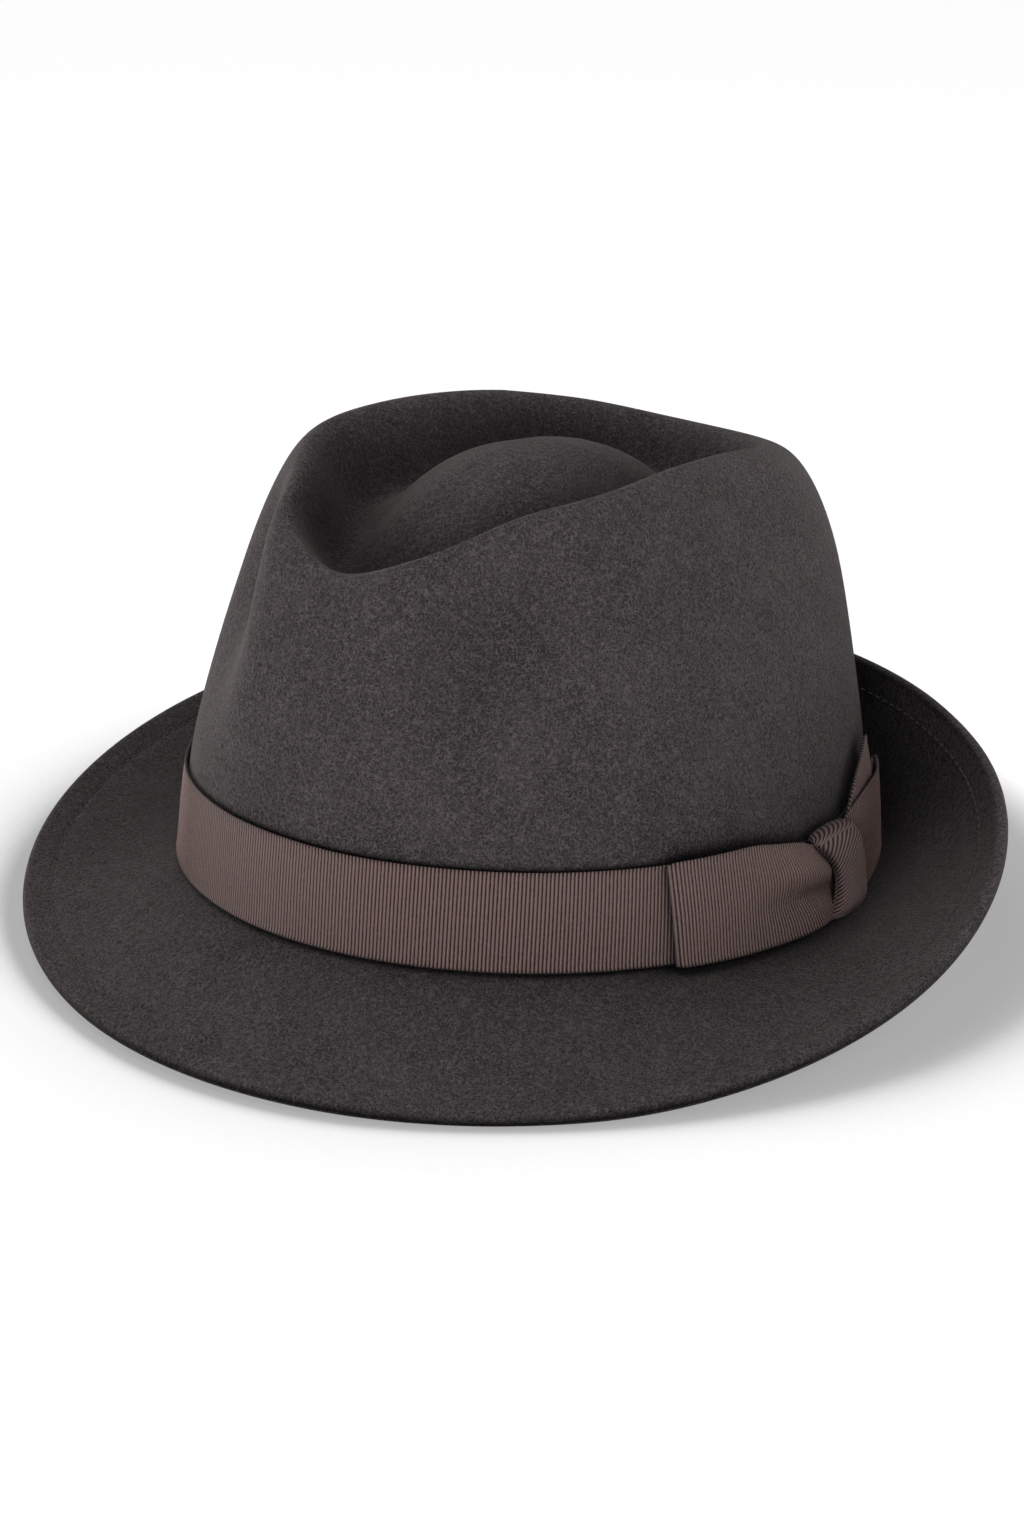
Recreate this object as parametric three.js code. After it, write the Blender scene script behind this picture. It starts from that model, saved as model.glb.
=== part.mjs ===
// A felt trilby: teardrop crown with two front pinches, short brim with a folded edge, ribbon band, side bow.
// Millimetres. The front of the hat faces -Y, the wearer's left is +X and up is +Z.
import * as THREE from "three";

// Driving dimensions
const HEAD_LENGTH = 194;        // outside of the crown's foot, front to back
const HEAD_WIDTH = 173;         // outside of the crown's foot, side to side
const CROWN_HEIGHT = 115;       // foot to the top of the ridges
const CROWN_SHIFT = 6;          // the crown's top sits this far forward of its foot
const SHIFT_POWER = 1.5;        // the shift grows with this power of the height
const DOME_HEIGHT = 110;        // foot to the middle of the raised dome
const BRIM_WIDTH = 42.5;        // foot to the brim's edge, along the felt
const FELT = 2;                 // felt wall
const WELT_WIDTH = 8.5;         // folded edge, edge to stitches
const WELT_GROOVE = 0.35;       // how far the stitches pull the felt in
const WELT_CURL = 8;            // degrees the folded edge bends up beyond the brim
const BREAK_RADIUS = 1.6;       // rounding between crown and brim
const RIBBON_WIDTH = 25;
const RIBBON = 1;               // ribbon wall
const BOW_DEPTH = 4.5;          // how far the bow's loops stand off the band
const GAP = 0.3;                // clearance between pieces that touch
const TILT = 5.8;               // degrees the foot leans back when the hat rests on its brim
const LEAN = -0.6;              // degrees it leans to the wearer's left
const FLATTEN = 0.8;            // how far the felt gives where it rests
const TURNS = 72;               // sections around the hat

// Sections of the crown, by the angle from the front. rimReach and shoulder are shares of the foot's reach,
// rimHeight and valley of the crown's height. swell bows the side out, and wall is how far in from the rim
// the wall of the dent reaches, as a share of its reach where it is widest.
const CROWN_SECTIONS = [
  { angle: 0, rimReach: 0.775, rimHeight: 0.77, swell: 2, shoulder: 0.06, valley: 0.655, wall: 0.42 },
  { angle: 20, rimReach: 0.755, rimHeight: 0.835, swell: 1.85, shoulder: 0.06, valley: 0.68, wall: 0.42 },
  { angle: 40, rimReach: 0.675, rimHeight: 0.922, swell: 1.75, shoulder: 0.05, valley: 0.735, wall: 0.5 },
  { angle: 60, rimReach: 0.62, rimHeight: 0.965, swell: 1.6, shoulder: 0.065, valley: 0.77, wall: 0.66 },
  { angle: 85, rimReach: 0.545, rimHeight: 0.985, swell: 1.3, shoulder: 0.085, valley: 0.79, wall: 0.85 },
  { angle: 115, rimReach: 0.555, rimHeight: 0.98, swell: 1.4, shoulder: 0.1, valley: 0.79, wall: 0.85 },
  { angle: 145, rimReach: 0.69, rimHeight: 0.945, swell: 2, shoulder: 0.125, valley: 0.78, wall: 0.7 },
  { angle: 165, rimReach: 0.785, rimHeight: 0.91, swell: 2.1, shoulder: 0.13, valley: 0.76, wall: 0.6 },
  { angle: 180, rimReach: 0.81, rimHeight: 0.9, swell: 2.1, shoulder: 0.13, valley: 0.75, wall: 0.58 },
];

// Sections of the brim: its slope at the wearer's left and right, and how far it bends up on the way out, in
// degrees
const BRIM_SECTIONS = [
  { angle: 0, left: -31.5, right: -31.5, curl: 3 },
  { angle: 20, left: -31.5, right: -29, curl: 3 },
  { angle: 40, left: -29.5, right: -20, curl: 5 },
  { angle: 60, left: -20.5, right: -6.5, curl: 8 },
  { angle: 85, left: 0.5, right: 12.5, curl: 12 },
  { angle: 115, left: 34, right: 35, curl: 18 },
  { angle: 145, left: 64, right: 56, curl: 24 },
  { angle: 165, left: 70, right: 66, curl: 26 },
  { angle: 180, left: 70, right: 70, curl: 26 },
];

// Levels up the crown's side. height is a share of the rim's height, roll of the shoulder's rounding.
const SIDE_LEVELS = [
  { height: 0, roll: 0 },
  { height: 0.12, roll: 0 },
  { height: 0.24, roll: 0 },
  { height: 0.37, roll: 0 },
  { height: 0.5, roll: 0 },
  { height: 0.63, roll: 0 },
  { height: 0.75, roll: 0.03 },
  { height: 0.85, roll: 0.12 },
  { height: 0.925, roll: 0.3 },
  { height: 0.975, roll: 0.58 },
  { height: 1, roll: 1 },
];

// Levels across the top, from the rim in to the middle. rim, valley and dome are shares of each one's height.
const TOP_LEVELS = [
  { inward: 0.08, rim: 0.94, valley: 0.06, dome: 0 },
  { inward: 0.17, rim: 0.7, valley: 0.3, dome: 0 },
  { inward: 0.26, rim: 0.36, valley: 0.64, dome: 0 },
  { inward: 0.35, rim: 0.1, valley: 0.88, dome: 0.02 },
  { inward: 0.46, rim: 0, valley: 0.83, dome: 0.17 },
  { inward: 0.6, rim: 0, valley: 0.42, dome: 0.58 },
  { inward: 0.76, rim: 0, valley: 0.13, dome: 0.87 },
  { inward: 0.9, rim: 0, valley: 0.02, dome: 0.98 },
];

// Pinches pressed into the crown's side. depth is a share of the foot's reach, low, deep and high of the
// rim's height, and fade how much of the depth is gone at the rim.
const FOLDS = [
  { fold: "left", angle: 35, halfWidth: 20, depth: 0.116, low: 0.36, deep: 0.74, high: 1.02, fade: 0.8 },
  { fold: "right", angle: -35, halfWidth: 20, depth: 0.116, low: 0.36, deep: 0.74, high: 1.02, fade: 0.8 },
];

// The side bow, by angle from the front. A row is a place along the ribbon. slant is added to the angle at
// the lower edge, low and high are the edges as shares of the ribbon's width, and off is the distance from
// the band as a share of the bow's depth.
const FRONT_LOOP = [
  { angle: 92.9, slant: 4.3, low: 0.1, high: 0.84, off: 0 },
  { angle: 89, slant: 2.4, low: 0.04, high: 0.93, off: 0 },
  { angle: 83, slant: 1, low: 0.01, high: 1, off: 0 },
  { angle: 74, slant: 1, low: 0, high: 1.02, off: 0 },
  { angle: 66.4, slant: 1.6, low: 0, high: 1.02, off: 0 },
  { angle: 64.7, slant: 1.9, low: 0, high: 1.02, off: 0.12 },
  { angle: 64.1, slant: 1.9, low: 0, high: 1.02, off: 0.28 },
  { angle: 64.7, slant: 1.9, low: 0, high: 1.02, off: 0.44 },
  { angle: 66.4, slant: 1.6, low: 0, high: 1.02, off: 0.55 },
  { angle: 74, slant: 1, low: 0, high: 1.02, off: 0.62 },
  { angle: 83, slant: 1, low: 0.01, high: 1, off: 0.68 },
  { angle: 89, slant: 2.4, low: 0.04, high: 0.93, off: 0.64 },
  { angle: 92.4, slant: 4.6, low: 0.1, high: 0.84, off: 0.5 },
];
const BACK_LOOP = [
  { angle: 103.9, slant: 1.4, low: 0.1, high: 0.84, off: 0 },
  { angle: 108, slant: 1, low: 0.06, high: 0.9, off: 0 },
  { angle: 116, slant: 0.6, low: 0.03, high: 1, off: 0.04 },
  { angle: 124, slant: 0.2, low: 0.04, high: 1.08, off: 0.16 },
  { angle: 128.6, slant: -0.4, low: 0.06, high: 1.12, off: 0.3 },
  { angle: 129.6, slant: -0.6, low: 0.08, high: 1.12, off: 0.5 },
  { angle: 128.8, slant: -0.4, low: 0.09, high: 1.1, off: 0.7 },
  { angle: 125, slant: 0.2, low: 0.08, high: 1.04, off: 0.82 },
  { angle: 116, slant: 0.6, low: 0.05, high: 0.96, off: 0.86 },
  { angle: 108, slant: 1, low: 0.04, high: 0.88, off: 0.74 },
  { angle: 104.7, slant: 1.4, low: 0.1, high: 0.84, off: 0.5 },
];

// The knot, across the bow. low and high are its edges as shares of the ribbon's width, rise how far it
// stands off the band as a share of the bow's depth.
const KNOT = [
  { angle: 93.3, slant: 4.4, low: 0.06, high: 0.82, rise: 0.7 },
  { angle: 94.6, slant: 4, low: 0.03, high: 0.85, rise: 0.95 },
  { angle: 97, slant: 3.2, low: 0.01, high: 0.87, rise: 1.12 },
  { angle: 99.6, slant: 2.6, low: 0.01, high: 0.87, rise: 1.14 },
  { angle: 101.9, slant: 1.9, low: 0.03, high: 0.85, rise: 0.97 },
  { angle: 103.1, slant: 1.5, low: 0.06, high: 0.82, rise: 0.7 },
];

// The knot's outline at a section, around from its lower edge. up is a share of its height, rise of its
// rise.
const KNOT_OUTLINE = [
  { up: 0, rise: 0.75 },
  { up: 0.12, rise: 1 },
  { up: 0.5, rise: 1 },
  { up: 0.88, rise: 1 },
  { up: 1, rise: 0.75 },
  { up: 1, rise: 0 },
  { up: 0.5, rise: 0 },
  { up: 0, rise: 0 },
];

// Shares of the brim's width, from the break out to the welt
const BRIM_LEVELS = [0.1, 0.25, 0.42, 0.6, 0.74];

// Levels across the folded edge, from its stitches out. across is a share of its width, thickness of the
// felt's, and sink of the groove.
const WELT_LEVELS = [
  { across: -0.1, thickness: 1, sink: 0 },
  { across: 0, thickness: 1.3, sink: 1 },
  { across: 0.125, thickness: 2, sink: 0 },
  { across: 0.45, thickness: 2, sink: 0 },
  { across: 0.74, thickness: 2, sink: 0 },
];

// Degrees around the rounded outer edge
const EDGE_TURNS = [35, 90, 145];

const WELT_START = 1 - WELT_WIDTH / BRIM_WIDTH;
const BREAK_TURN = 45;

const radians = (degrees) => (degrees * Math.PI) / 180;

// A smooth curve through a table's knots
function smooth(knots, values, at) {
  let i = 0;
  while (i < knots.length - 2 && at > knots[i + 1]) i += 1;
  const span = knots[i + 1] - knots[i];
  const slope = (k) => {
    const a = Math.max(k - 1, 0);
    const b = Math.min(k + 1, knots.length - 1);
    return (values[b] - values[a]) / (knots[b] - knots[a]);
  };
  const t = (at - knots[i]) / span;
  const t2 = t * t;
  const t3 = t2 * t;
  return (
    (2 * t3 - 3 * t2 + 1) * values[i] +
    (t3 - 2 * t2 + t) * span * slope(i) +
    (3 * t2 - 2 * t3) * values[i + 1] +
    (t3 - t2) * span * slope(i + 1)
  );
}

// Two of a table's columns, one for each side, as a closed curve around the hat, for angles from -180 to 180
function around(table, left, right, angle) {
  const ring = table.map((row) => [row.angle, row[left]]);
  for (const row of table.slice(1, -1)) ring.push([-row.angle, row[right]]);
  const turns = [-360, 0, 360].flatMap((turn) => ring.map(([a, v]) => [a + turn, v]));
  turns.sort((p, q) => p[0] - q[0]);
  return smooth(turns.map((p) => p[0]), turns.map((p) => p[1]), angle);
}
const crown = (column, angle) => around(CROWN_SECTIONS, column, column, angle);

const ramp = (from, to, at) => {
  const t = Math.min(Math.max((at - from) / (to - from), 0), 1);
  return t * t * (3 - 2 * t);
};

// How far the folds draw the side in, as a share of the foot's reach
function foldDepth(angle, height) {
  let depth = 0;
  for (const fold of FOLDS) {
    const off = Math.abs(angle - fold.angle) / fold.halfWidth;
    const across = off < 1 ? Math.cos((off * Math.PI) / 2) ** 2 : 0;
    const up = ramp(fold.low, fold.deep, height) * (1 - fold.fade * ramp(fold.deep, fold.high, height));
    depth += fold.depth * across * up;
  }
  return depth;
}

// A point of the foot's oval, and the oval's outward direction there
function oval(angle) {
  const turn = radians(angle);
  return new THREE.Vector3((HEAD_WIDTH / 2) * Math.sin(turn), (-HEAD_LENGTH / 2) * Math.cos(turn), 0);
}
function outward(angle) {
  const turn = radians(angle);
  return new THREE.Vector3(Math.sin(turn) / HEAD_WIDTH, -Math.cos(turn) / HEAD_LENGTH, 0).normalize();
}

// The crown's side, at a share of the rim's height
function side(angle, height, roll) {
  const rimHeight = crown("rimHeight", angle) * CROWN_HEIGHT;
  const rim = crown("rimReach", angle);
  const shoulder = crown("shoulder", angle);
  const lean = (1 - rim - shoulder) * height ** crown("swell", angle);
  const reach = 1 - lean - shoulder * roll - foldDepth(angle, height);
  const point = oval(angle).multiplyScalar(reach);
  point.y -= CROWN_SHIFT * height ** SHIFT_POWER;
  point.z = rimHeight * height;
  return point;
}

// The crown's top, inward from the rim
function top(angle, level) {
  const rim = side(angle, 1, 1);
  const middle = new THREE.Vector3(0, -CROWN_SHIFT, 0);
  const wall = crown("wall", angle);
  const point = rim.clone().lerp(middle, level.inward * (wall + (1 - wall) * level.inward));
  const valley = crown("valley", angle) * CROWN_HEIGHT;
  point.z = level.rim * rim.z + level.valley * valley + level.dome * DOME_HEIGHT;
  return point;
}

// The brim's upper face, out along the felt from the break
function brim(angle, run) {
  const slope = around(BRIM_SECTIONS, "left", "right", angle);
  const curl = around(BRIM_SECTIONS, "curl", "curl", angle);
  const steps = 24;
  let out = BREAK_RADIUS;
  let rise = -BREAK_RADIUS;
  for (let i = 0; i < steps; i += 1) {
    const at = ((i + 0.5) / steps) * run;
    const bend = radians(slope + curl * (2 * at - 1) + WELT_CURL * ramp(WELT_START, 1, at));
    out += (Math.cos(bend) * run * BRIM_WIDTH) / steps;
    rise += (Math.sin(bend) * run * BRIM_WIDTH) / steps;
  }
  const point = oval(angle).addScaledVector(outward(angle), out);
  point.z = rise;
  return point;
}

// The felt's upper face as rows of points, from the middle of the dome out to the brim's edge, and each row's
// thickness
function upperRows() {
  const angles = Array.from({ length: TURNS }, (_, i) => -180 + (360 * (i + 1)) / TURNS);
  const rows = [];
  const add = (thickness, point) => rows.push({ thickness, points: angles.map(point) });
  for (const level of [...TOP_LEVELS].reverse()) add(FELT, (a) => top(a, level));
  for (const level of [...SIDE_LEVELS].reverse()) add(FELT, (a) => side(a, level.height, level.roll));
  add(FELT, (a) => {
    const turn = radians(BREAK_TURN);
    const point = oval(a).addScaledVector(outward(a), BREAK_RADIUS * (1 - Math.cos(turn)));
    point.z = -BREAK_RADIUS * Math.sin(turn);
    return point;
  });
  add(FELT, (a) => brim(a, 0));
  for (const run of BRIM_LEVELS) add(FELT, (a) => brim(a, run));
  for (const level of WELT_LEVELS) {
    add(FELT * level.thickness, (a) => {
      const point = brim(a, WELT_START + level.across * (1 - WELT_START));
      point.z -= WELT_GROOVE * level.sink;
      return point;
    });
  }
  return rows;
}

// The outward direction of the upper face at a point of a row
function faceNormal(rows, j, i) {
  const n = TURNS;
  const up = rows[Math.max(j - 1, 0)].points[i];
  const down = rows[Math.min(j + 1, rows.length - 1)].points[i];
  const back = rows[j].points[(i + n - 1) % n];
  const next = rows[j].points[(i + 1) % n];
  const along = down.clone().sub(up);
  const across = next.clone().sub(back);
  return along.cross(across).normalize();
}

// A closed body from rings of points, with a single point or a cap at each end
function bodyFromRings(rings, first, last) {
  const positions = [];
  const index = [];
  const n = rings[0].length;
  for (const ring of rings) {
    for (const p of ring) positions.push(p.x, p.y, p.z);
  }
  for (let j = 0; j + 1 < rings.length; j += 1) {
    for (let i = 0; i < n; i += 1) {
      const k = (i + 1) % n;
      const a = j * n + i;
      const b = j * n + k;
      const c = (j + 1) * n + k;
      const d = (j + 1) * n + i;
      index.push(a, d, c, a, c, b);
    }
  }
  const start = positions.length / 3;
  positions.push(first.x, first.y, first.z, last.x, last.y, last.z);
  for (let i = 0; i < n; i += 1) {
    const k = (i + 1) % n;
    index.push(start, i, k);
    const row = (rings.length - 1) * n;
    index.push(start + 1, row + k, row + i);
  }
  const geometry = new THREE.BufferGeometry();
  geometry.setAttribute("position", new THREE.Float32BufferAttribute(positions, 3));
  geometry.setIndex(index);
  return geometry;
}

function feltBody() {
  const rows = upperRows();
  const upper = rows.map((row) => row.points);
  const lower = rows.map((row, j) =>
    row.points.map((p, i) => p.clone().addScaledVector(faceNormal(rows, j, i), -row.thickness)),
  );
  const edge = [];
  const lastRow = rows.length - 1;
  for (const turn of EDGE_TURNS) {
    edge.push(
      rows[lastRow].points.map((p, i) => {
        const normal = faceNormal(rows, lastRow, i);
        const outer = p.clone().sub(rows[lastRow - 1].points[i]).normalize();
        const middle = p.clone().addScaledVector(normal, -FELT);
        return middle
          .addScaledVector(normal, FELT * Math.cos(radians(turn)))
          .addScaledVector(outer, FELT * Math.sin(radians(turn)));
      }),
    );
  }
  const first = new THREE.Vector3(0, -CROWN_SHIFT, DOME_HEIGHT);
  const last = first.clone();
  last.z -= FELT;
  return bodyFromRings([...upper, ...edge, ...lower.reverse()], first, last);
}

// A point over the crown's foot, a height above it and a distance off the felt
function overFoot(angle, height, off) {
  const rimHeight = crown("rimHeight", angle) * CROWN_HEIGHT;
  const point = side(angle, Math.max(height, 0) / rimHeight, 0);
  point.z = height;
  return point.addScaledVector(outward(angle), off);
}

function hatBand() {
  const angles = Array.from({ length: TURNS }, (_, i) => -180 + (360 * (i + 1)) / TURNS);
  const heights = [0, 0.5, 1].map((share) => share * RIBBON_WIDTH);
  const loop = [
    ...heights.map((h) => [h, GAP]),
    ...[...heights].reverse().map((h) => [h, GAP + RIBBON]),
  ];
  const rings = angles.map((a) => loop.map(([h, off]) => overFoot(a, h, off)));
  const positions = [];
  const index = [];
  const n = loop.length;
  for (const ring of rings) for (const p of ring) positions.push(p.x, p.y, p.z);
  for (let j = 0; j < rings.length; j += 1) {
    for (let i = 0; i < n; i += 1) {
      const a = j * n + i;
      const b = j * n + ((i + 1) % n);
      const c = ((j + 1) % rings.length) * n + ((i + 1) % n);
      const d = ((j + 1) % rings.length) * n + i;
      index.push(a, b, c, a, c, d);
    }
  }
  const geometry = new THREE.BufferGeometry();
  geometry.setAttribute("position", new THREE.Float32BufferAttribute(positions, 3));
  geometry.setIndex(index);
  return geometry;
}

// A table's rows with more rows between them, on smooth curves through its columns
function refined(table, times) {
  const knots = table.map((_, i) => i);
  const rows = Array.from({ length: knots[knots.length - 1] * times + 1 }, (_, k) => k / times);
  return rows.map((at) => {
    const row = {};
    for (const column of Object.keys(table[0])) {
      row[column] = smooth(knots, table.map((place) => place[column]), at);
    }
    return row;
  });
}

// A strip of ribbon along a table of places, folded over where the places turn back
function ribbonStrip(table) {
  const places = refined(table, 3);
  const middle = places[Math.floor(places.length / 2)].angle;
  const millimetres = radians(1) * Math.hypot(
    (HEAD_WIDTH / 2) * Math.cos(radians(middle)),
    (HEAD_LENGTH / 2) * Math.sin(radians(middle)),
  );
  const base = GAP + RIBBON + GAP;
  const path = places.map((place) => [place.angle * millimetres, base + RIBBON / 2 + place.off * BOW_DEPTH]);
  const rings = places.map((place, i) => {
    const before = path[Math.max(i - 1, 0)];
    const after = path[Math.min(i + 1, path.length - 1)];
    const run = [after[0] - before[0], after[1] - before[1]];
    const length = Math.hypot(run[0], run[1]);
    const corner = (sign, up) => {
      const shift = (sign * RIBBON) / 2 / length;
      const angle = place.angle + place.slant * (1 - up) - (run[1] * shift) / millimetres;
      const height = (place.low + (place.high - place.low) * up) * RIBBON_WIDTH;
      return overFoot(angle, height, path[i][1] + run[0] * shift);
    };
    return [corner(-1, 0), corner(1, 0), corner(1, 0.5), corner(1, 1), corner(-1, 1), corner(-1, 0.5)];
  });
  return closedStrip(rings);
}

// A closed body from rings, capped flat at both ends
function closedStrip(rings) {
  const middles = [rings[0], rings[rings.length - 1]].map((ring) => {
    const sum = new THREE.Vector3();
    for (const point of ring) sum.add(point);
    return sum.divideScalar(ring.length);
  });
  return bodyFromRings(rings, ...middles);
}

function bowKnot() {
  const base = GAP + RIBBON + GAP;
  const rings = KNOT.map((place) =>
    KNOT_OUTLINE.map(({ up, rise }) => {
      const height = (place.low + (place.high - place.low) * up) * RIBBON_WIDTH;
      return overFoot(place.angle + place.slant * (1 - up), height, base + rise * place.rise * BOW_DEPTH);
    }),
  );
  return closedStrip(rings);
}

const group = new THREE.Group();
function piece(name, geometry, colour) {
  const mesh = new THREE.Mesh(geometry, new THREE.MeshStandardMaterial({ color: colour }));
  mesh.name = name;
  group.add(mesh);
}
piece("felt_body", feltBody(), 0x3b3637);
piece("hat_band", hatBand(), 0x6b524e);
piece("bow_front_loop", ribbonStrip(FRONT_LOOP), 0x6b524e);
piece("bow_back_loop", ribbonStrip(BACK_LOOP), 0x6b524e);
piece("bow_knot", bowKnot(), 0x75595a);

// The hat at rest: leaned back on its brim, the felt flattened where it meets the floor, and centred
const settled = new THREE.Box3();
for (const mesh of group.children) {
  mesh.geometry.rotateX(radians(-TILT));
  mesh.geometry.rotateY(radians(LEAN));
  settled.union(new THREE.Box3().setFromBufferAttribute(mesh.geometry.getAttribute("position")));
}
const middle = settled.getCenter(new THREE.Vector3());
for (const mesh of group.children) {
  mesh.geometry.translate(-middle.x, -middle.y, -settled.min.z - FLATTEN);
  const positions = mesh.geometry.getAttribute("position");
  for (let i = 0; i < positions.count; i += 1) positions.setZ(i, Math.max(positions.getZ(i), 0));
}

export default group;
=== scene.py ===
import math

import bpy
from mathutils import Matrix, Vector, noise
from mathutils.bvhtree import BVHTree


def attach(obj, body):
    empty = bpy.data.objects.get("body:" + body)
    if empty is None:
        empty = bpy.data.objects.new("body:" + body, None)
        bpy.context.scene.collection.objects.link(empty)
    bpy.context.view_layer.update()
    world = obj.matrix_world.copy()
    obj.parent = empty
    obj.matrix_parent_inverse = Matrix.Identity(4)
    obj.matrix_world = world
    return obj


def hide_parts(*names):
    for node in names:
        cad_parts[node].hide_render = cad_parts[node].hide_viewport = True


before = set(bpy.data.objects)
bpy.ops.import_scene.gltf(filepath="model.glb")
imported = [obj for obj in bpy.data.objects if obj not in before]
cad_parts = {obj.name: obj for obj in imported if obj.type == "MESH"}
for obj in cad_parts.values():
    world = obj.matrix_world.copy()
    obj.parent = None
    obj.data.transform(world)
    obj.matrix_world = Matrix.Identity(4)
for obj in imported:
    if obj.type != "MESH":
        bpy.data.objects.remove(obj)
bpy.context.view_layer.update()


# The felt body. Crown and brim are one piece of wool felt, steamed and pulled over a wooden block. The top is
# pressed into a drop-shaped dent with a dome in its middle, and the brim's edge is folded over into a round
# welt.
HEAD_LENGTH = 0.194
HEAD_WIDTH = 0.173
TILT = math.radians(5.8)
LEAN = math.radians(-0.6)
HAND_DENTS = 0.0006
HAND_DENT_SEED = 4
HAND_DENT_SIZE = 0.035
TRUE_BELOW = 0.015
DENTED_ABOVE = 0.045
FELT_CLUMPS = 60
FELT_NAP = 2400
FELT_HAIRS = ((760, 0.5), (1150, 0.5))
HAIR_WIDTH = 0.06
# Reach of the painted shade: the felt's colour is darkened where other felt lies within this distance.
PAINTED_HOLLOW_SHADE_REACH = 0.07
FELT_DARK = (0.014, 0.0116, 0.0121, 1)
FELT_LIGHT = (0.142, 0.122, 0.125, 1)


def select_only(piece):
    bpy.ops.object.select_all(action="DESELECT")
    piece.select_set(True)
    bpy.context.view_layer.objects.active = piece


def copy_of_node(node, name):
    piece = bpy.data.objects.new(name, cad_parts[node].data.copy())
    bpy.context.scene.collection.objects.link(piece)
    piece.data.materials.clear()
    select_only(piece)
    bpy.ops.object.mode_set(mode="EDIT")
    bpy.ops.mesh.select_all(action="SELECT")
    bpy.ops.mesh.remove_doubles(threshold=1e-5)
    bpy.ops.mesh.tris_convert_to_quads(face_threshold=math.radians(60), shape_threshold=math.radians(60))
    bpy.ops.object.mode_set(mode="OBJECT")
    return piece


def finish_modifier(piece, kind, **settings):
    modifier = piece.modifiers.new(kind.title(), kind)
    for setting, value in settings.items():
        setattr(modifier, setting, value)
    select_only(piece)
    bpy.ops.object.modifier_apply(modifier=modifier.name)


def new_finish(name):
    material = bpy.data.materials.new(name)
    material.use_nodes = True
    tree = material.node_tree
    shader = next(node for node in tree.nodes if node.type == "BSDF_PRINCIPLED")
    return material, tree, shader


def add_node(tree, kind, inputs=(), **settings):
    node = tree.nodes.new(kind)
    for setting, value in settings.items():
        setattr(node, setting, value)
    for socket, value in dict(inputs).items():
        if isinstance(value, bpy.types.NodeSocket):
            tree.links.new(value, node.inputs[socket])
        else:
            node.inputs[socket].default_value = value
    return node


def felt_finish():
    material, tree, shader = new_finish("wool_felt")
    place = add_node(tree, "ShaderNodeTexCoord").outputs["Object"]
    clumps = add_node(tree, "ShaderNodeTexNoise",
                      {"Vector": place, "Scale": FELT_CLUMPS, "Detail": 4, "Roughness": 0.6})
    nap = add_node(tree, "ShaderNodeTexNoise",
                   {"Vector": place, "Scale": FELT_NAP, "Detail": 2, "Roughness": 0.7})
    total = add_node(tree, "ShaderNodeMath", {0: clumps.outputs["Fac"], 1: 0.35, 2: nap.outputs["Fac"]},
                     operation="MULTIPLY_ADD").outputs[0]
    for scale, weight in FELT_HAIRS:
        curls = add_node(tree, "ShaderNodeTexNoise",
                         {"Vector": place, "Scale": scale, "Detail": 1, "Roughness": 0.4, "Distortion": 0.6})
        middle = add_node(tree, "ShaderNodeMath", {0: curls.outputs["Fac"], 1: 0.5}, operation="SUBTRACT")
        away = add_node(tree, "ShaderNodeMath", {0: middle.outputs[0]}, operation="ABSOLUTE")
        hair = add_node(tree, "ShaderNodeMapRange",
                        {"Value": away.outputs[0], "From Max": HAIR_WIDTH, "To Min": 1, "To Max": 0})
        total = add_node(tree, "ShaderNodeMath", {0: hair.outputs[0], 1: weight, 2: total},
                         operation="MULTIPLY_ADD").outputs[0]
    shade = add_node(tree, "ShaderNodeMapRange",
                     {"Value": total, "From Min": 0.42, "From Max": 1.42}, clamp=True)
    colour = add_node(tree, "ShaderNodeMix", data_type="RGBA")
    tree.links.new(shade.outputs[0], colour.inputs["Factor"])
    colour.inputs[6].default_value = FELT_DARK
    colour.inputs[7].default_value = FELT_LIGHT
    # Painted shade: the felt's colour is scaled down by its ambient occlusion, darkest in the hollows between
    # crown, dent and brim where shade falls.
    near = add_node(tree, "ShaderNodeAmbientOcclusion", {"Distance": PAINTED_HOLLOW_SHADE_REACH}, samples=8)
    painted_hollow_shade = add_node(tree, "ShaderNodeMapRange",
                       {"Value": near.outputs["AO"], "From Min": 0.5, "From Max": 0.96, "To Min": 0.06},
                       clamp=True)
    shaded = add_node(tree, "ShaderNodeVectorMath", {0: colour.outputs[2]}, operation="SCALE")
    tree.links.new(painted_hollow_shade.outputs[0], shaded.inputs["Scale"])
    tree.links.new(shaded.outputs[0], shader.inputs["Base Color"])
    bump = add_node(tree, "ShaderNodeBump", {"Height": total, "Strength": 0.5, "Distance": 0.0003})
    tree.links.new(bump.outputs[0], shader.inputs["Normal"])
    rough = add_node(tree, "ShaderNodeMapRange",
                     {"Value": total, "From Min": 0.4, "From Max": 1.5,
                      "To Min": 1, "To Max": 0.86}, clamp=True)
    tree.links.new(rough.outputs[0], shader.inputs["Roughness"])
    shader.inputs["Specular IOR Level"].default_value = 0.1
    shader.inputs["Sheen Weight"].default_value = 0.25
    shader.inputs["Sheen Roughness"].default_value = 0.35
    shader.inputs["Sheen Tint"].default_value = (0.9, 0.82, 0.8, 1)
    return material


felt = copy_of_node("felt_body", "felt")
finish_modifier(felt, "SUBSURF", levels=2, render_levels=2)
noise.seed_set(HAND_DENT_SEED)
for vertex in felt.data.vertices:
    dented = min(max((vertex.co.z - TRUE_BELOW) / (DENTED_ABOVE - TRUE_BELOW), 0), 1)
    vertex.co += noise.noise_vector(vertex.co / HAND_DENT_SIZE) * HAND_DENTS * dented
bpy.ops.object.shade_smooth()
felt.data.materials.append(felt_finish())
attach(felt, "root")
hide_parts("felt_body")


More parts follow.
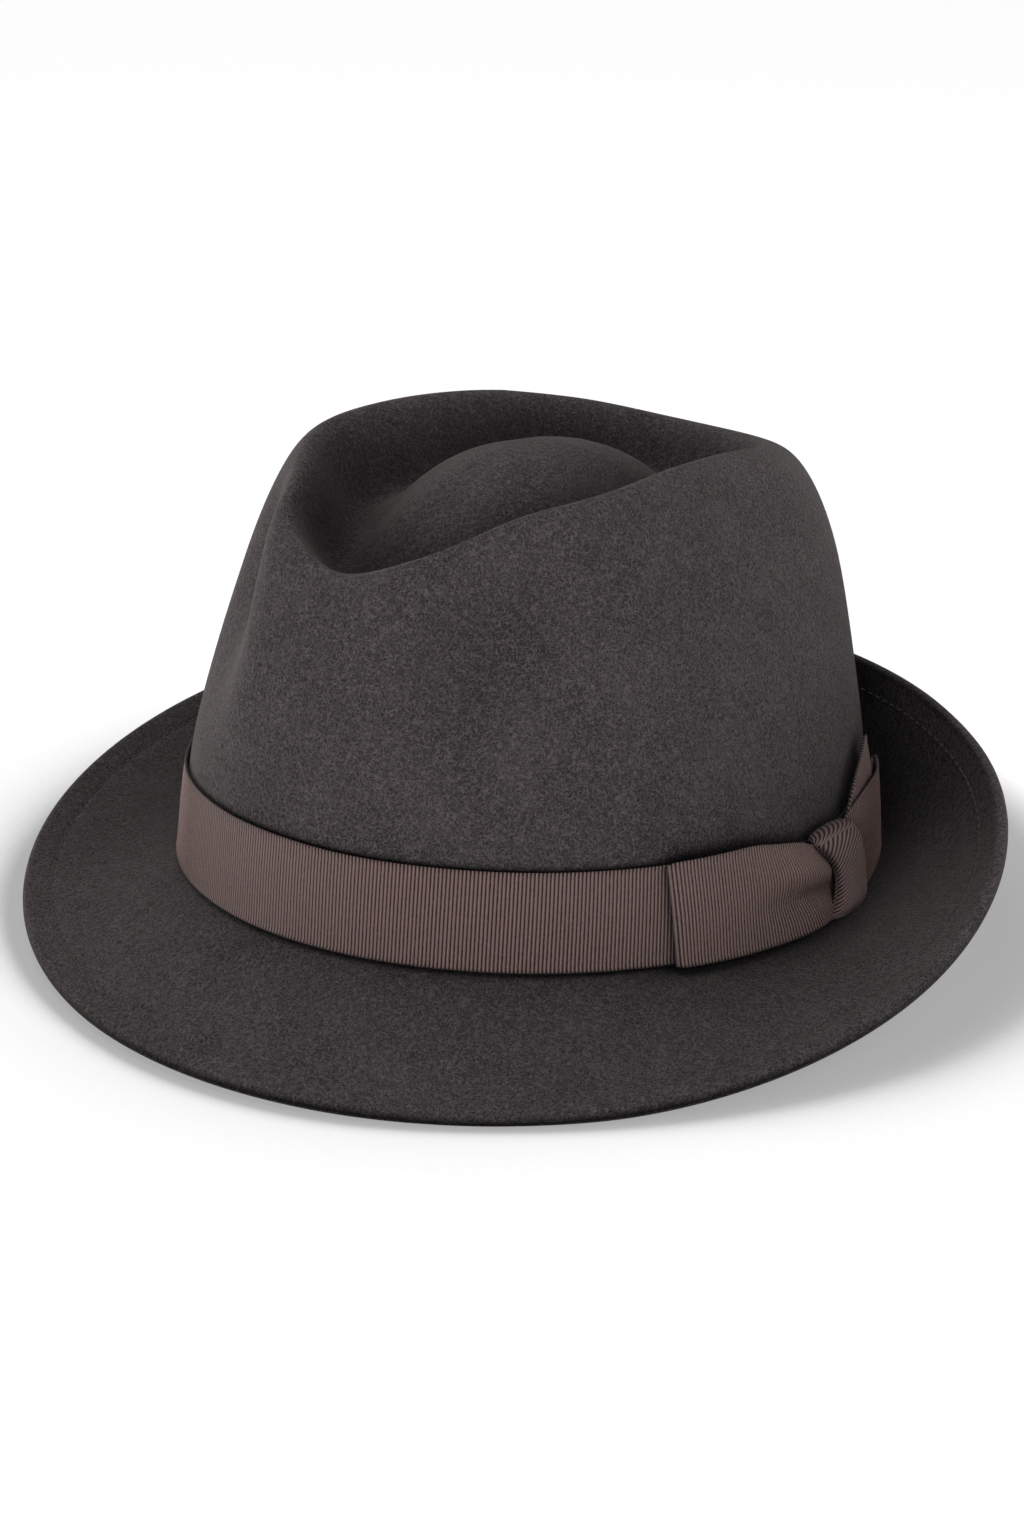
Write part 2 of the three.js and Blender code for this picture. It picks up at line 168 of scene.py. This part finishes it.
# The welt's stitches. One row of short stitches in dark thread holds the folded edge down. Each is drawn into
# the felt's nap, so that only its middle shows.
BRIM_WIDTH = 0.0425
WELT_WIDTH = 0.0085
BREAK_RADIUS = 0.0016
STITCH = 0.0026
STITCH_GAP = 0.001
THREAD = 0.0004
STITCH_DEPTHS = (0.0003, 0.00002, -0.00008, 0.00002, 0.0003)
THREAD_DARK = (0.02, 0.017, 0.017, 1)
THREAD_LIGHT = (0.11, 0.095, 0.09, 1)
THREAD_PLIES = 2500
SEAM_POINTS = 180
BAND_FOOT = 0.001


def settled(points):
    """The foot's middle, from the band's lower edge, and the turn from the hat's own upright to the frame"""
    turn = Matrix.Rotation(LEAN, 4, "Y") @ Matrix.Rotation(-TILT, 4, "X")
    upright = [turn.inverted() @ point for point in points]
    low = min(point.z for point in upright)
    ring = [point for point in upright if point.z < low + BAND_FOOT]
    middle = Vector((
        (min(p.x for p in ring) + max(p.x for p in ring)) / 2,
        (min(p.y for p in ring) + max(p.y for p in ring)) / 2,
        low,
    ))
    return Matrix.Translation(turn @ middle) @ turn


hat = settled([vertex.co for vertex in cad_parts["hat_band"].data.vertices])
felt_surface = BVHTree.FromPolygons(
    [vertex.co for vertex in felt.data.vertices], [polygon.vertices for polygon in felt.data.polygons])


def foot_of(angle):
    """The crown's foot and its outward direction, by degrees from the front"""
    turn = math.radians(angle)
    foot = Vector((HEAD_WIDTH / 2 * math.sin(turn), -HEAD_LENGTH / 2 * math.cos(turn), 0))
    return foot, Vector((math.sin(turn) / HEAD_WIDTH, -math.cos(turn) / HEAD_LENGTH, 0)).normalized()


def on_brim(angle, run, steps=60):
    """A point of the brim's upper face, a distance out from the foot along the felt, and the normal there"""
    foot, outward = foot_of(angle)
    point = hat @ (foot + outward * BREAK_RADIUS - Vector((0, 0, BREAK_RADIUS)))
    sideways = hat.to_3x3() @ outward.cross(Vector((0, 0, 1)))
    for step in range(steps + 1):
        point, normal = felt_surface.find_nearest(point)[:2]
        if step < steps:
            point = point + sideways.cross(normal).normalized() * -run / steps
    return point, normal


seam = [on_brim(360 * k / SEAM_POINTS, BRIM_WIDTH - WELT_WIDTH) for k in range(SEAM_POINTS)]
seam.append(seam[0])
seam_lengths = [0]
for (a, _), (b, _) in zip(seam, seam[1:]):
    seam_lengths.append(seam_lengths[-1] + (b - a).length)
stitch_count = round(seam_lengths[-1] / (STITCH + STITCH_GAP))


def on_seam(length):
    """A point of the seam by its length from the front"""
    k = max(i for i, start in enumerate(seam_lengths[:-1]) if start <= length + 1e-12)
    t = (length - seam_lengths[k]) / (seam_lengths[k + 1] - seam_lengths[k])
    return seam[k][0].lerp(seam[k + 1][0], t), seam[k][1].lerp(seam[k + 1][1], t).normalized()


thread = bpy.data.curves.new("welt_stitches", "CURVE")
thread.dimensions = "3D"
thread.bevel_depth = THREAD / 2
thread.bevel_resolution = 1
thread.use_fill_caps = True
for number in range(stitch_count):
    spline = thread.splines.new("POLY")
    spline.points.add(len(STITCH_DEPTHS) - 1)
    for k, sunk in enumerate(STITCH_DEPTHS):
        through = k / (len(STITCH_DEPTHS) - 1) * STITCH / (STITCH + STITCH_GAP)
        point, normal = on_seam(seam_lengths[-1] * (number + through) / stitch_count)
        spline.points[k].co = (*(point - normal * sunk), 1)
stitches = bpy.data.objects.new("welt_stitches", thread)
bpy.context.scene.collection.objects.link(stitches)
select_only(stitches)
bpy.ops.object.convert(target="MESH")
stitches = bpy.context.object
bpy.ops.object.shade_smooth()
thread_material, thread_tree, thread_shader = new_finish("sewing_thread")
thread_place = add_node(thread_tree, "ShaderNodeTexCoord").outputs["Object"]
thread_plies = add_node(thread_tree, "ShaderNodeTexNoise",
                        {"Vector": thread_place, "Scale": THREAD_PLIES, "Detail": 2})
thread_colour = add_node(thread_tree, "ShaderNodeMix", data_type="RGBA")
thread_tree.links.new(thread_plies.outputs["Fac"], thread_colour.inputs["Factor"])
thread_colour.inputs[6].default_value = THREAD_DARK
thread_colour.inputs[7].default_value = THREAD_LIGHT
thread_tree.links.new(thread_colour.outputs[2], thread_shader.inputs["Base Color"])
thread_shader.inputs["Roughness"].default_value = 0.55
stitches.data.materials.append(thread_material)
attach(stitches, "root")


# The hat band. It is a grosgrain ribbon, woven with close ribs across it and a firm selvedge along each edge.
# It is sewn around the foot of the crown with its join under the bow's knot.
RIBBON_WIDTH = 0.025
RIBBON = 0.001
SHEET_SHARE = 0.8
GAP = 0.0003
CLEAR_OF_FELT = 0.003
LOWEST_AIM = 0.0008
RIB_PITCH = 0.00098
RIB_HEIGHT = 0.00016
RIB_STEPS = 4
SELVEDGE = 0.0012
SELVEDGE_CORD = 0.0004
SELVEDGE_HEIGHT = 0.00018
# Reach of the painted shade in the bow's creases and folds.
PAINTED_CREASE_SHADE_REACH = 0.008
# The ribbon's dark and light tones. The colour between them carries the threads' random tone, painted shade
# in the grooves between ribs and a painted highlight on the rib tops.
RIBBON_DARK_THREADS_AND_GROOVE_SHADE = (0.0085, 0.0042, 0.0038, 1)
RIBBON_LIGHT_THREADS_AND_RIB_HIGHLIGHT = (0.225, 0.141, 0.124, 1)


def on_crown(angle, height, off):
    """A point by degrees from the front, height over the foot and distance out from the felt"""
    foot, outward = foot_of(angle)
    start = foot + outward * CLEAR_OF_FELT
    start.z = max(height, LOWEST_AIM)
    hit = felt_surface.ray_cast(hat @ start, hat.to_3x3() @ -outward)
    inward = hit[3] if hit[0] else CLEAR_OF_FELT
    point = start + outward * (off - inward)
    point.z = height
    return hat @ point


def rib(count):
    return RIB_HEIGHT * math.cos(2 * math.pi * count) / 2


def woven(name, length, width, across, place, ribs=None):
    """A ribbon of that length and width with its ribs, laid out by place(along, across, lift)"""
    count = round(length / RIB_PITCH)
    columns = count * RIB_STEPS
    rows = len(across) - 1
    bpy.ops.object.select_all(action="DESELECT")
    bpy.ops.mesh.primitive_grid_add(x_subdivisions=columns, y_subdivisions=rows, size=1)
    piece = bpy.context.object
    piece.name = name
    mesh = piece.data
    uv = mesh.uv_layers.active.data
    shares = []
    for vertex in mesh.vertices:
        along = min(max(vertex.co.x + 0.5, 0), 1)
        side = across[min(max(round((vertex.co.y + 0.5) * rows), 0), rows)]
        shares.append((along, side))
    for loop in mesh.loops:
        along, side = shares[loop.vertex_index]
        ribs_at = ribs(along, side) if ribs else along * count
        uv[loop.index].uv = (ribs_at, side)
    for vertex in mesh.vertices:
        along, side = shares[vertex.index]
        edge = min(side, 1 - side) * width
        inner = min(edge / SELVEDGE, 1)
        ribs_at = ribs(along, side) if ribs else along * count
        cord = SELVEDGE_HEIGHT * math.exp(-((edge - SELVEDGE_CORD) / SELVEDGE_CORD) ** 2)
        vertex.co = place(along, side, rib(ribs_at) * inner + cord)
    return piece


def ribbon_finish():
    material, tree, shader = new_finish("grosgrain_ribbon")
    uv = add_node(tree, "ShaderNodeUVMap", uv_map="UVMap").outputs["UV"]
    # The colour follows the ribs: dark in the grooves between them as painted shade, light on their tops as a
    # painted highlight, with the threads' random tone mixed in.
    parts = add_node(tree, "ShaderNodeSeparateXYZ", {"Vector": uv})
    turns = add_node(tree, "ShaderNodeMath", {0: parts.outputs["X"], 1: 2 * math.pi}, operation="MULTIPLY")
    wave = add_node(tree, "ShaderNodeMath", {0: turns.outputs[0]}, operation="COSINE")
    place = add_node(tree, "ShaderNodeTexCoord").outputs["Object"]
    threads = add_node(tree, "ShaderNodeTexNoise", {"Vector": place, "Scale": 1500, "Detail": 2})
    blend = add_node(tree, "ShaderNodeMath", {0: threads.outputs["Fac"], 1: 1.3, 2: wave.outputs[0]},
                     operation="MULTIPLY_ADD")
    shade = add_node(tree, "ShaderNodeMapRange",
                     {"Value": blend.outputs[0], "From Min": 0.25, "From Max": 1.3}, clamp=True)
    colour = add_node(tree, "ShaderNodeMix", data_type="RGBA")
    tree.links.new(shade.outputs[0], colour.inputs["Factor"])
    colour.inputs[6].default_value = RIBBON_DARK_THREADS_AND_GROOVE_SHADE
    colour.inputs[7].default_value = RIBBON_LIGHT_THREADS_AND_RIB_HIGHLIGHT
    # Painted shade: the ribbon's colour is scaled down by its ambient occlusion, darkest in the creases of
    # the bow and where the ribbon lies against the felt.
    near = add_node(tree, "ShaderNodeAmbientOcclusion", {"Distance": PAINTED_CREASE_SHADE_REACH}, samples=8)
    painted_crease_shade = add_node(tree, "ShaderNodeMapRange",
                       {"Value": near.outputs["AO"], "From Min": 0.35, "From Max": 0.9, "To Min": 0.1},
                       clamp=True)
    shaded = add_node(tree, "ShaderNodeVectorMath", {0: colour.outputs[2]}, operation="SCALE")
    tree.links.new(painted_crease_shade.outputs[0], shaded.inputs["Scale"])
    tree.links.new(shaded.outputs[0], shader.inputs["Base Color"])
    bump = add_node(tree, "ShaderNodeBump", {"Height": blend.outputs[0], "Strength": 0.6, "Distance": 0.0003})
    tree.links.new(bump.outputs[0], shader.inputs["Normal"])
    rough = add_node(tree, "ShaderNodeMapRange",
                     {"Value": blend.outputs[0], "From Min": -0.4, "From Max": 1.7,
                      "To Min": 0.72, "To Max": 0.46}, clamp=True)
    tree.links.new(rough.outputs[0], shader.inputs["Roughness"])
    shader.inputs["Specular IOR Level"].default_value = 0.45
    shader.inputs["Sheen Weight"].default_value = 0.15
    shader.inputs["Sheen Roughness"].default_value = 0.35
    return material


ribbon_material = ribbon_finish()


def finish_ribbon(piece, *nodes):
    finish_modifier(piece, "SOLIDIFY", thickness=RIBBON * SHEET_SHARE, offset=0)
    bpy.ops.object.shade_smooth()
    piece.data.materials.append(ribbon_material)
    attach(piece, "root")
    for node in nodes:
        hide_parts(node)


BAND_ACROSS = [0, 0.016, 0.032, 0.05, 0.08, 0.25, 0.5, 0.75, 0.92, 0.95, 0.968, 0.984, 1]
BAND_JOIN = 98
BAND_DIP = 0.16
BAND_DIP_REACH = 13
band_length = math.pi * (HEAD_LENGTH + HEAD_WIDTH) / 2 + 2 * math.pi * GAP


def band_place(along, side, lift):
    from_join = 360 * min(along, 1 - along)
    height = side * RIBBON_WIDTH * (1 - BAND_DIP * math.exp(-(from_join / BAND_DIP_REACH) ** 2))
    return on_crown(BAND_JOIN + 360 * along, height, GAP + RIBBON / 2 + lift)


band = woven("band", band_length, RIBBON_WIDTH, BAND_ACROSS, band_place)
select_only(band)
bpy.ops.object.mode_set(mode="EDIT")
bpy.ops.mesh.select_all(action="SELECT")
bpy.ops.mesh.remove_doubles(threshold=1e-6)
bpy.ops.mesh.normals_make_consistent(inside=False)
bpy.ops.object.mode_set(mode="OBJECT")
finish_ribbon(band, "hat_band")


# The bow's front loop. The ribbon comes out from under the knot, runs forward along the band, is pressed into
# a flat fold and comes back over itself, where the knot gathers it into a rounded pleat over a hollow.
BOW_DEPTH = 0.0045
ON_BAND = 2 * GAP + RIBBON * 1.5
FRONT_TURN_OVER = 0.43
PLEAT = {"middle": 0.68, "width": 0.17}
HOLLOW = {"middle": 0.36, "width": 0.16}
LOOP_COLUMNS = ("angle", "slant", "low", "high", "off", "pleat", "hollow", "press")
FLAP_ROWS = 24
FLAP_ACROSS = [0, 0.016, 0.032, 0.05]
FLAP_ACROSS += [0.08 + 0.84 * i / FLAP_ROWS for i in range(FLAP_ROWS + 1)]
FLAP_ACROSS += [0.95, 0.968, 0.984, 1]
FRONT_LOOP = [dict(zip(LOOP_COLUMNS, row)) for row in (
    (93, 4.2, 0.1, 0.76, 0, 0, 0, 0),
    (89, 2.4, 0.04, 0.8, 0, 0, 0, 0),
    (83, 1, 0.01, 0.88, 0, 0, 0, 0),
    (74, 1, 0, 0.98, 0, 0, 0, 0),
    (66.4, 1.6, 0, 0.99, 0, 0, 0, 0),
    (64.7, 1.9, 0, 1, 0.08, 0, 0, 0.2),
    (64.1, 1.9, 0, 1.02, 0.2, 0, 0, 0.3),
    (64.7, 1.9, 0, 1.04, 0.33, 0, 0, 0.4),
    (66.4, 1.6, 0, 1.05, 0.4, 0, 0, 0.4),
    (74, 1, 0, 1.05, 0.44, 0, 0, 0.4),
    (80, 1, 0.005, 1.04, 0.48, 0.08, 0.08, 0.4),
    (85, 1.8, 0.015, 0.99, 0.56, 0.24, 0.32, 0.4),
    (90, 3, 0.035, 0.93, 0.68, 0.42, 0.54, 0.5),
    (94.2, 3.6, 0.06, 0.84, 0.52, 0.42, 0.46, 0.5),
    (98.2, 3, 0.1, 0.74, 0.12, 0.06, 0, 0.4),
)]


def at_share(table, share):
    """A table's row at a share of its length, on smooth curves through its columns"""
    at = min(max(share, 0), 1) * (len(table) - 1)
    i = min(int(at), len(table) - 2)
    t = at - i
    row = {}
    for column in table[0]:
        rows = (table[min(max(k, 0), len(table) - 1)] for k in range(i - 1, i + 3))
        before, start, end, after = (row_near[column] for row_near in rows)
        bend = 2 * before - 5 * start + 4 * end - after
        twist = 3 * (start - end) + after - before
        row[column] = start + 0.5 * t * (end - before + t * (bend + t * twist))
    return row


def evenly(table, steps=400):
    """Shares of a table at even steps along its ribbon, and the ribbon's length"""
    points = []
    for i in range(steps + 1):
        row = at_share(table, i / steps)
        points.append(on_crown(row["angle"] + row["slant"] / 2, RIBBON_WIDTH / 2, row["off"] * BOW_DEPTH))
    lengths = [0]
    for a, b in zip(points, points[1:]):
        lengths.append(lengths[-1] + (b - a).length)

    def share(along):
        wanted = along * lengths[-1]
        k = max(i for i, length in enumerate(lengths[:-1]) if length <= wanted + 1e-12)
        return (k + (wanted - lengths[k]) / (lengths[k + 1] - lengths[k])) / steps
    return share, lengths[-1]


def bow_loop(name, table, across, turn_over):
    """A loop of ribbon through a table of places. Past turn_over, a share of the table, it shows its face"""
    share, length = evenly(table)
    cache = {}

    def place(along, side, lift):
        if along not in cache:
            cache[along] = at_share(table, share(along)), share(along)
        row, at = cache[along]
        out = 1 if at > turn_over else -1
        pleat = row["pleat"] * math.exp(-((side - PLEAT["middle"]) / PLEAT["width"]) ** 2)
        hollow = row["hollow"] * math.exp(-((side - HOLLOW["middle"]) / HOLLOW["width"]) ** 2)
        pressed = 1 - row["press"] * max(side - 0.5, 0) / 0.5
        height = (row["low"] + (row["high"] - row["low"]) * side) * RIBBON_WIDTH
        off = ON_BAND + (row["off"] * pressed + pleat - hollow) * BOW_DEPTH + lift * out
        return on_crown(row["angle"] + row["slant"] * (1 - side), height, off)
    return woven(name, length, RIBBON_WIDTH, across, place), length


front_loop, front_length = bow_loop("bow_front", FRONT_LOOP, FLAP_ACROSS, FRONT_TURN_OVER)
finish_ribbon(front_loop, "bow_front_loop")


# The bow's back loop. The same grosgrain ribbon runs back from the knot, folds over and returns, slightly
# cocked up at its tip. Both ends of it are held under the knot.
BACK_TURN_OVER = 0.5
BACK_LOOP = [dict(zip(LOOP_COLUMNS, row)) for row in (
    (103.9, 1.4, 0.1, 0.84, 0, 0, 0, 0),
    (108, 1, 0.06, 0.9, 0, 0, 0, 0),
    (116, 0.6, 0.05, 1, 0.03, 0, 0, 0),
    (124, 0.2, 0.06, 1.08, 0.03, 0, 0, 0),
    (128.6, -0.4, 0.08, 1.1, 0.04, 0, 0, 0),
    (129.6, -0.6, 0.1, 1.12, 0.12, 0, 0, 0),
    (128.8, -0.4, 0.19, 1.12, 0.24, 0, 0, 0),
    (125, 0.2, 0.22, 1.08, 0.38, 0, 0, 0),
    (116, 0.6, 0.19, 1.08, 0.48, 0, 0, 0.1),
    (108, 1, 0.13, 1.02, 0.48, 0, 0, 0.1),
    (104.2, 1.4, 0.12, 0.9, 0.26, 0, 0, 0.1),
)]
back_loop, back_length = bow_loop("bow_back", BACK_LOOP, FLAP_ACROSS, BACK_TURN_OVER)
finish_ribbon(back_loop, "bow_back_loop")


# The bow's free end. It is the cut end of the same grosgrain ribbon, held under the knot and tucked inside
# the back loop's fold, and it stands a little out of the loop's top.
BOW_TAIL = [dict(zip(LOOP_COLUMNS, row)) for row in (
    (104.6, 1.2, 0.1, 0.86, 0.22, 0, 0, 0),
    (110.2, 1, 0.18, 1.17, 0.26, 0, 0, 0),
    (116, 0.5, 0.32, 1.34, 0.22, 0, 0, 0.1),
    (121.8, 0, 0.48, 1.5, 0.18, 0, 0, 0.2),
)]
tail, tail_length = bow_loop("bow_tail", BOW_TAIL, FLAP_ACROSS, 0)
finish_ribbon(tail)


# The bow's knot. A short end of the ribbon, folded narrower, is drawn tight over the middle of the bow from
# top to bottom, so that its ribs slant across it.
KNOT_ROWS = 72
KNOT_ACROSS = [i / KNOT_ROWS for i in range(KNOT_ROWS + 1)]
KNOT_RIB_SLANT = math.radians(38)
KNOT_WRAP = 0.13
KNOT_TUCK = 0.0009
KNOT_SHOULDER = {"drop": 0.22, "reach": 0.06}
KNOT_LOW_DROP = 0.12
KNOT_COLUMNS = ("angle", "slant", "waist", "low", "high", "rise")
KNOT = [dict(zip(KNOT_COLUMNS, row)) for row in (
    (94.4, 2.6, 3.2, 0.09, 0.83, 0.5),
    (94.9, 2.6, 3.1, 0.07, 0.86, 0.95),
    (97, 2.6, 2.3, 0.06, 0.89, 1.14),
    (99.8, 2.6, 1.4, 0.06, 0.9, 1.16),
    (102.8, 2.4, 0.7, 0.06, 0.89, 1.12),
    (105.4, 2.2, 0.3, 0.07, 0.86, 1),
    (106, 2, 0.2, 0.09, 0.83, 0.6),
)]
KNOT_WIDTH = 0.019
KNOT_LENGTH = 0.031


def knot_place(along, side, lift):
    row = at_share(KNOT, side)
    run = (along - KNOT_WRAP) / (1 - 2 * KNOT_WRAP)
    up = 1 - min(max(run, 0), 1)
    tuck = min(max(abs(along - 0.5) - (0.5 - KNOT_WRAP), 0) / KNOT_WRAP, 1)
    bulge = math.sqrt(max(1 - tuck * tuck, 0))
    edge = KNOT_TUCK * math.sin(tuck * math.pi / 2) * (1 if along < 0.5 else -1)
    height = (row["low"] + (row["high"] - row["low"]) * up) * RIBBON_WIDTH + edge
    shoulder = 1 - KNOT_SHOULDER["drop"] * math.exp(-min(up, 1 - up) / KNOT_SHOULDER["reach"])
    shoulder *= 1 - KNOT_LOW_DROP * (1 - up) ** 2
    off = ON_BAND + row["rise"] * BOW_DEPTH * bulge * shoulder + lift
    return on_crown(row["angle"] + row["slant"] * (1 - up) + row["waist"] * 4 * up * (1 - up), height, off)


def knot_ribs(along, side):
    down = along * KNOT_LENGTH * math.cos(KNOT_RIB_SLANT)
    over = side * KNOT_WIDTH * math.sin(KNOT_RIB_SLANT)
    return (down + over) / RIB_PITCH


knot = woven("knot", KNOT_LENGTH, KNOT_WIDTH, KNOT_ACROSS, knot_place, knot_ribs)
finish_ribbon(knot, "bow_knot")


# The floor, the light and the camera, as for a catalogue picture: a white floor, large soft lamps and a long
# lens that looks down at the hat's front and its bow.
VIEW_AZIMUTH = math.radians(40)
VIEW_HEIGHT = math.radians(24.586)
VIEW_DISTANCE = 0.9
FOCAL_LENGTH = 79.1
FOOT_PIXEL = (527.8, 842.2)
PICTURE = (1024, 1536)
FLOOR_SIZE = 60
# Reach of the painted contact shadow on the floor around the hat.
PAINTED_CONTACT_SHADOW_REACH = 0.05
LAMP_SIZE = 1.0

bpy.ops.object.select_all(action="DESELECT")
bpy.ops.mesh.primitive_plane_add(size=FLOOR_SIZE, location=(0, 0, 0))
floor = bpy.context.object
floor.name = "floor"
floor_material, floor_tree, floor_shader = new_finish("white_floor_painted_contact_shadow")
floor_shader.inputs["Base Color"].default_value = (0.15, 0.15, 0.15, 1)
floor_shader.inputs["Roughness"].default_value = 0.9
floor_shader.inputs["Specular IOR Level"].default_value = 0.1
floor_shader.inputs["Emission Color"].default_value = (1, 1, 1, 1)
# The floor's whiteness comes mostly from its own glow. Painted shadow: the glow is dimmed by ambient
# occlusion close to the hat, a painted contact shadow around the brim.
near = add_node(floor_tree, "ShaderNodeAmbientOcclusion", {"Distance": PAINTED_CONTACT_SHADOW_REACH}, samples=32)
floor_glow_painted_shadow = add_node(floor_tree, "ShaderNodeMapRange",
                {"Value": near.outputs["AO"], "From Min": 0.83, "From Max": 0.99,
                 "To Min": 0.36, "To Max": 0.93}, clamp=True)
floor_tree.links.new(floor_glow_painted_shadow.outputs[0], floor_shader.inputs["Emission Strength"])
floor.data.materials.append(floor_material)


def softbox(name, place, size, power, aim=(0, 0, 0.05)):
    bpy.ops.object.light_add(type="AREA", location=place)
    lamp = bpy.context.object
    lamp.name = name
    lamp.data.shape = "DISK"
    lamp.data.size = size
    lamp.data.energy = power
    lamp.rotation_euler = (Vector(aim) - Vector(place)).to_track_quat("-Z", "Y").to_euler()


softbox("front", (0.54, -1.47, 0.38), LAMP_SIZE, 8)
softbox("left", (-0.41, -1.12, 1.12), LAMP_SIZE, 3)
softbox("right", (1.17, 0.21, 1.12), LAMP_SIZE, 4)
softbox("back", (0.76, 0.92, 1.12), LAMP_SIZE, 4)
softbox("top", (-0.64, 0.11, 1.51), LAMP_SIZE, 9)

world = bpy.data.worlds.new("white_room")
bpy.context.scene.world = world
world.use_nodes = True
world.node_tree.nodes["Background"].inputs["Color"].default_value = (1, 1, 1, 1)
world.node_tree.nodes["Background"].inputs["Strength"].default_value = 0.02
bpy.context.scene.view_settings.view_transform = "Standard"

back = Vector((
    math.sin(VIEW_AZIMUTH) * math.cos(VIEW_HEIGHT),
    -math.cos(VIEW_AZIMUTH) * math.cos(VIEW_HEIGHT),
    math.sin(VIEW_HEIGHT),
))
bpy.ops.object.camera_add(location=hat.translation + back * VIEW_DISTANCE)
camera = bpy.context.object
camera.rotation_euler = (-back).to_track_quat("-Z", "Y").to_euler()
camera.data.lens = FOCAL_LENGTH
camera.data.shift_x = (PICTURE[0] / 2 - FOOT_PIXEL[0]) / PICTURE[1]
camera.data.shift_y = (FOOT_PIXEL[1] - PICTURE[1] / 2) / PICTURE[1]
camera.data.clip_start = 0.05
camera.data.clip_end = 30
bpy.context.scene.camera = camera
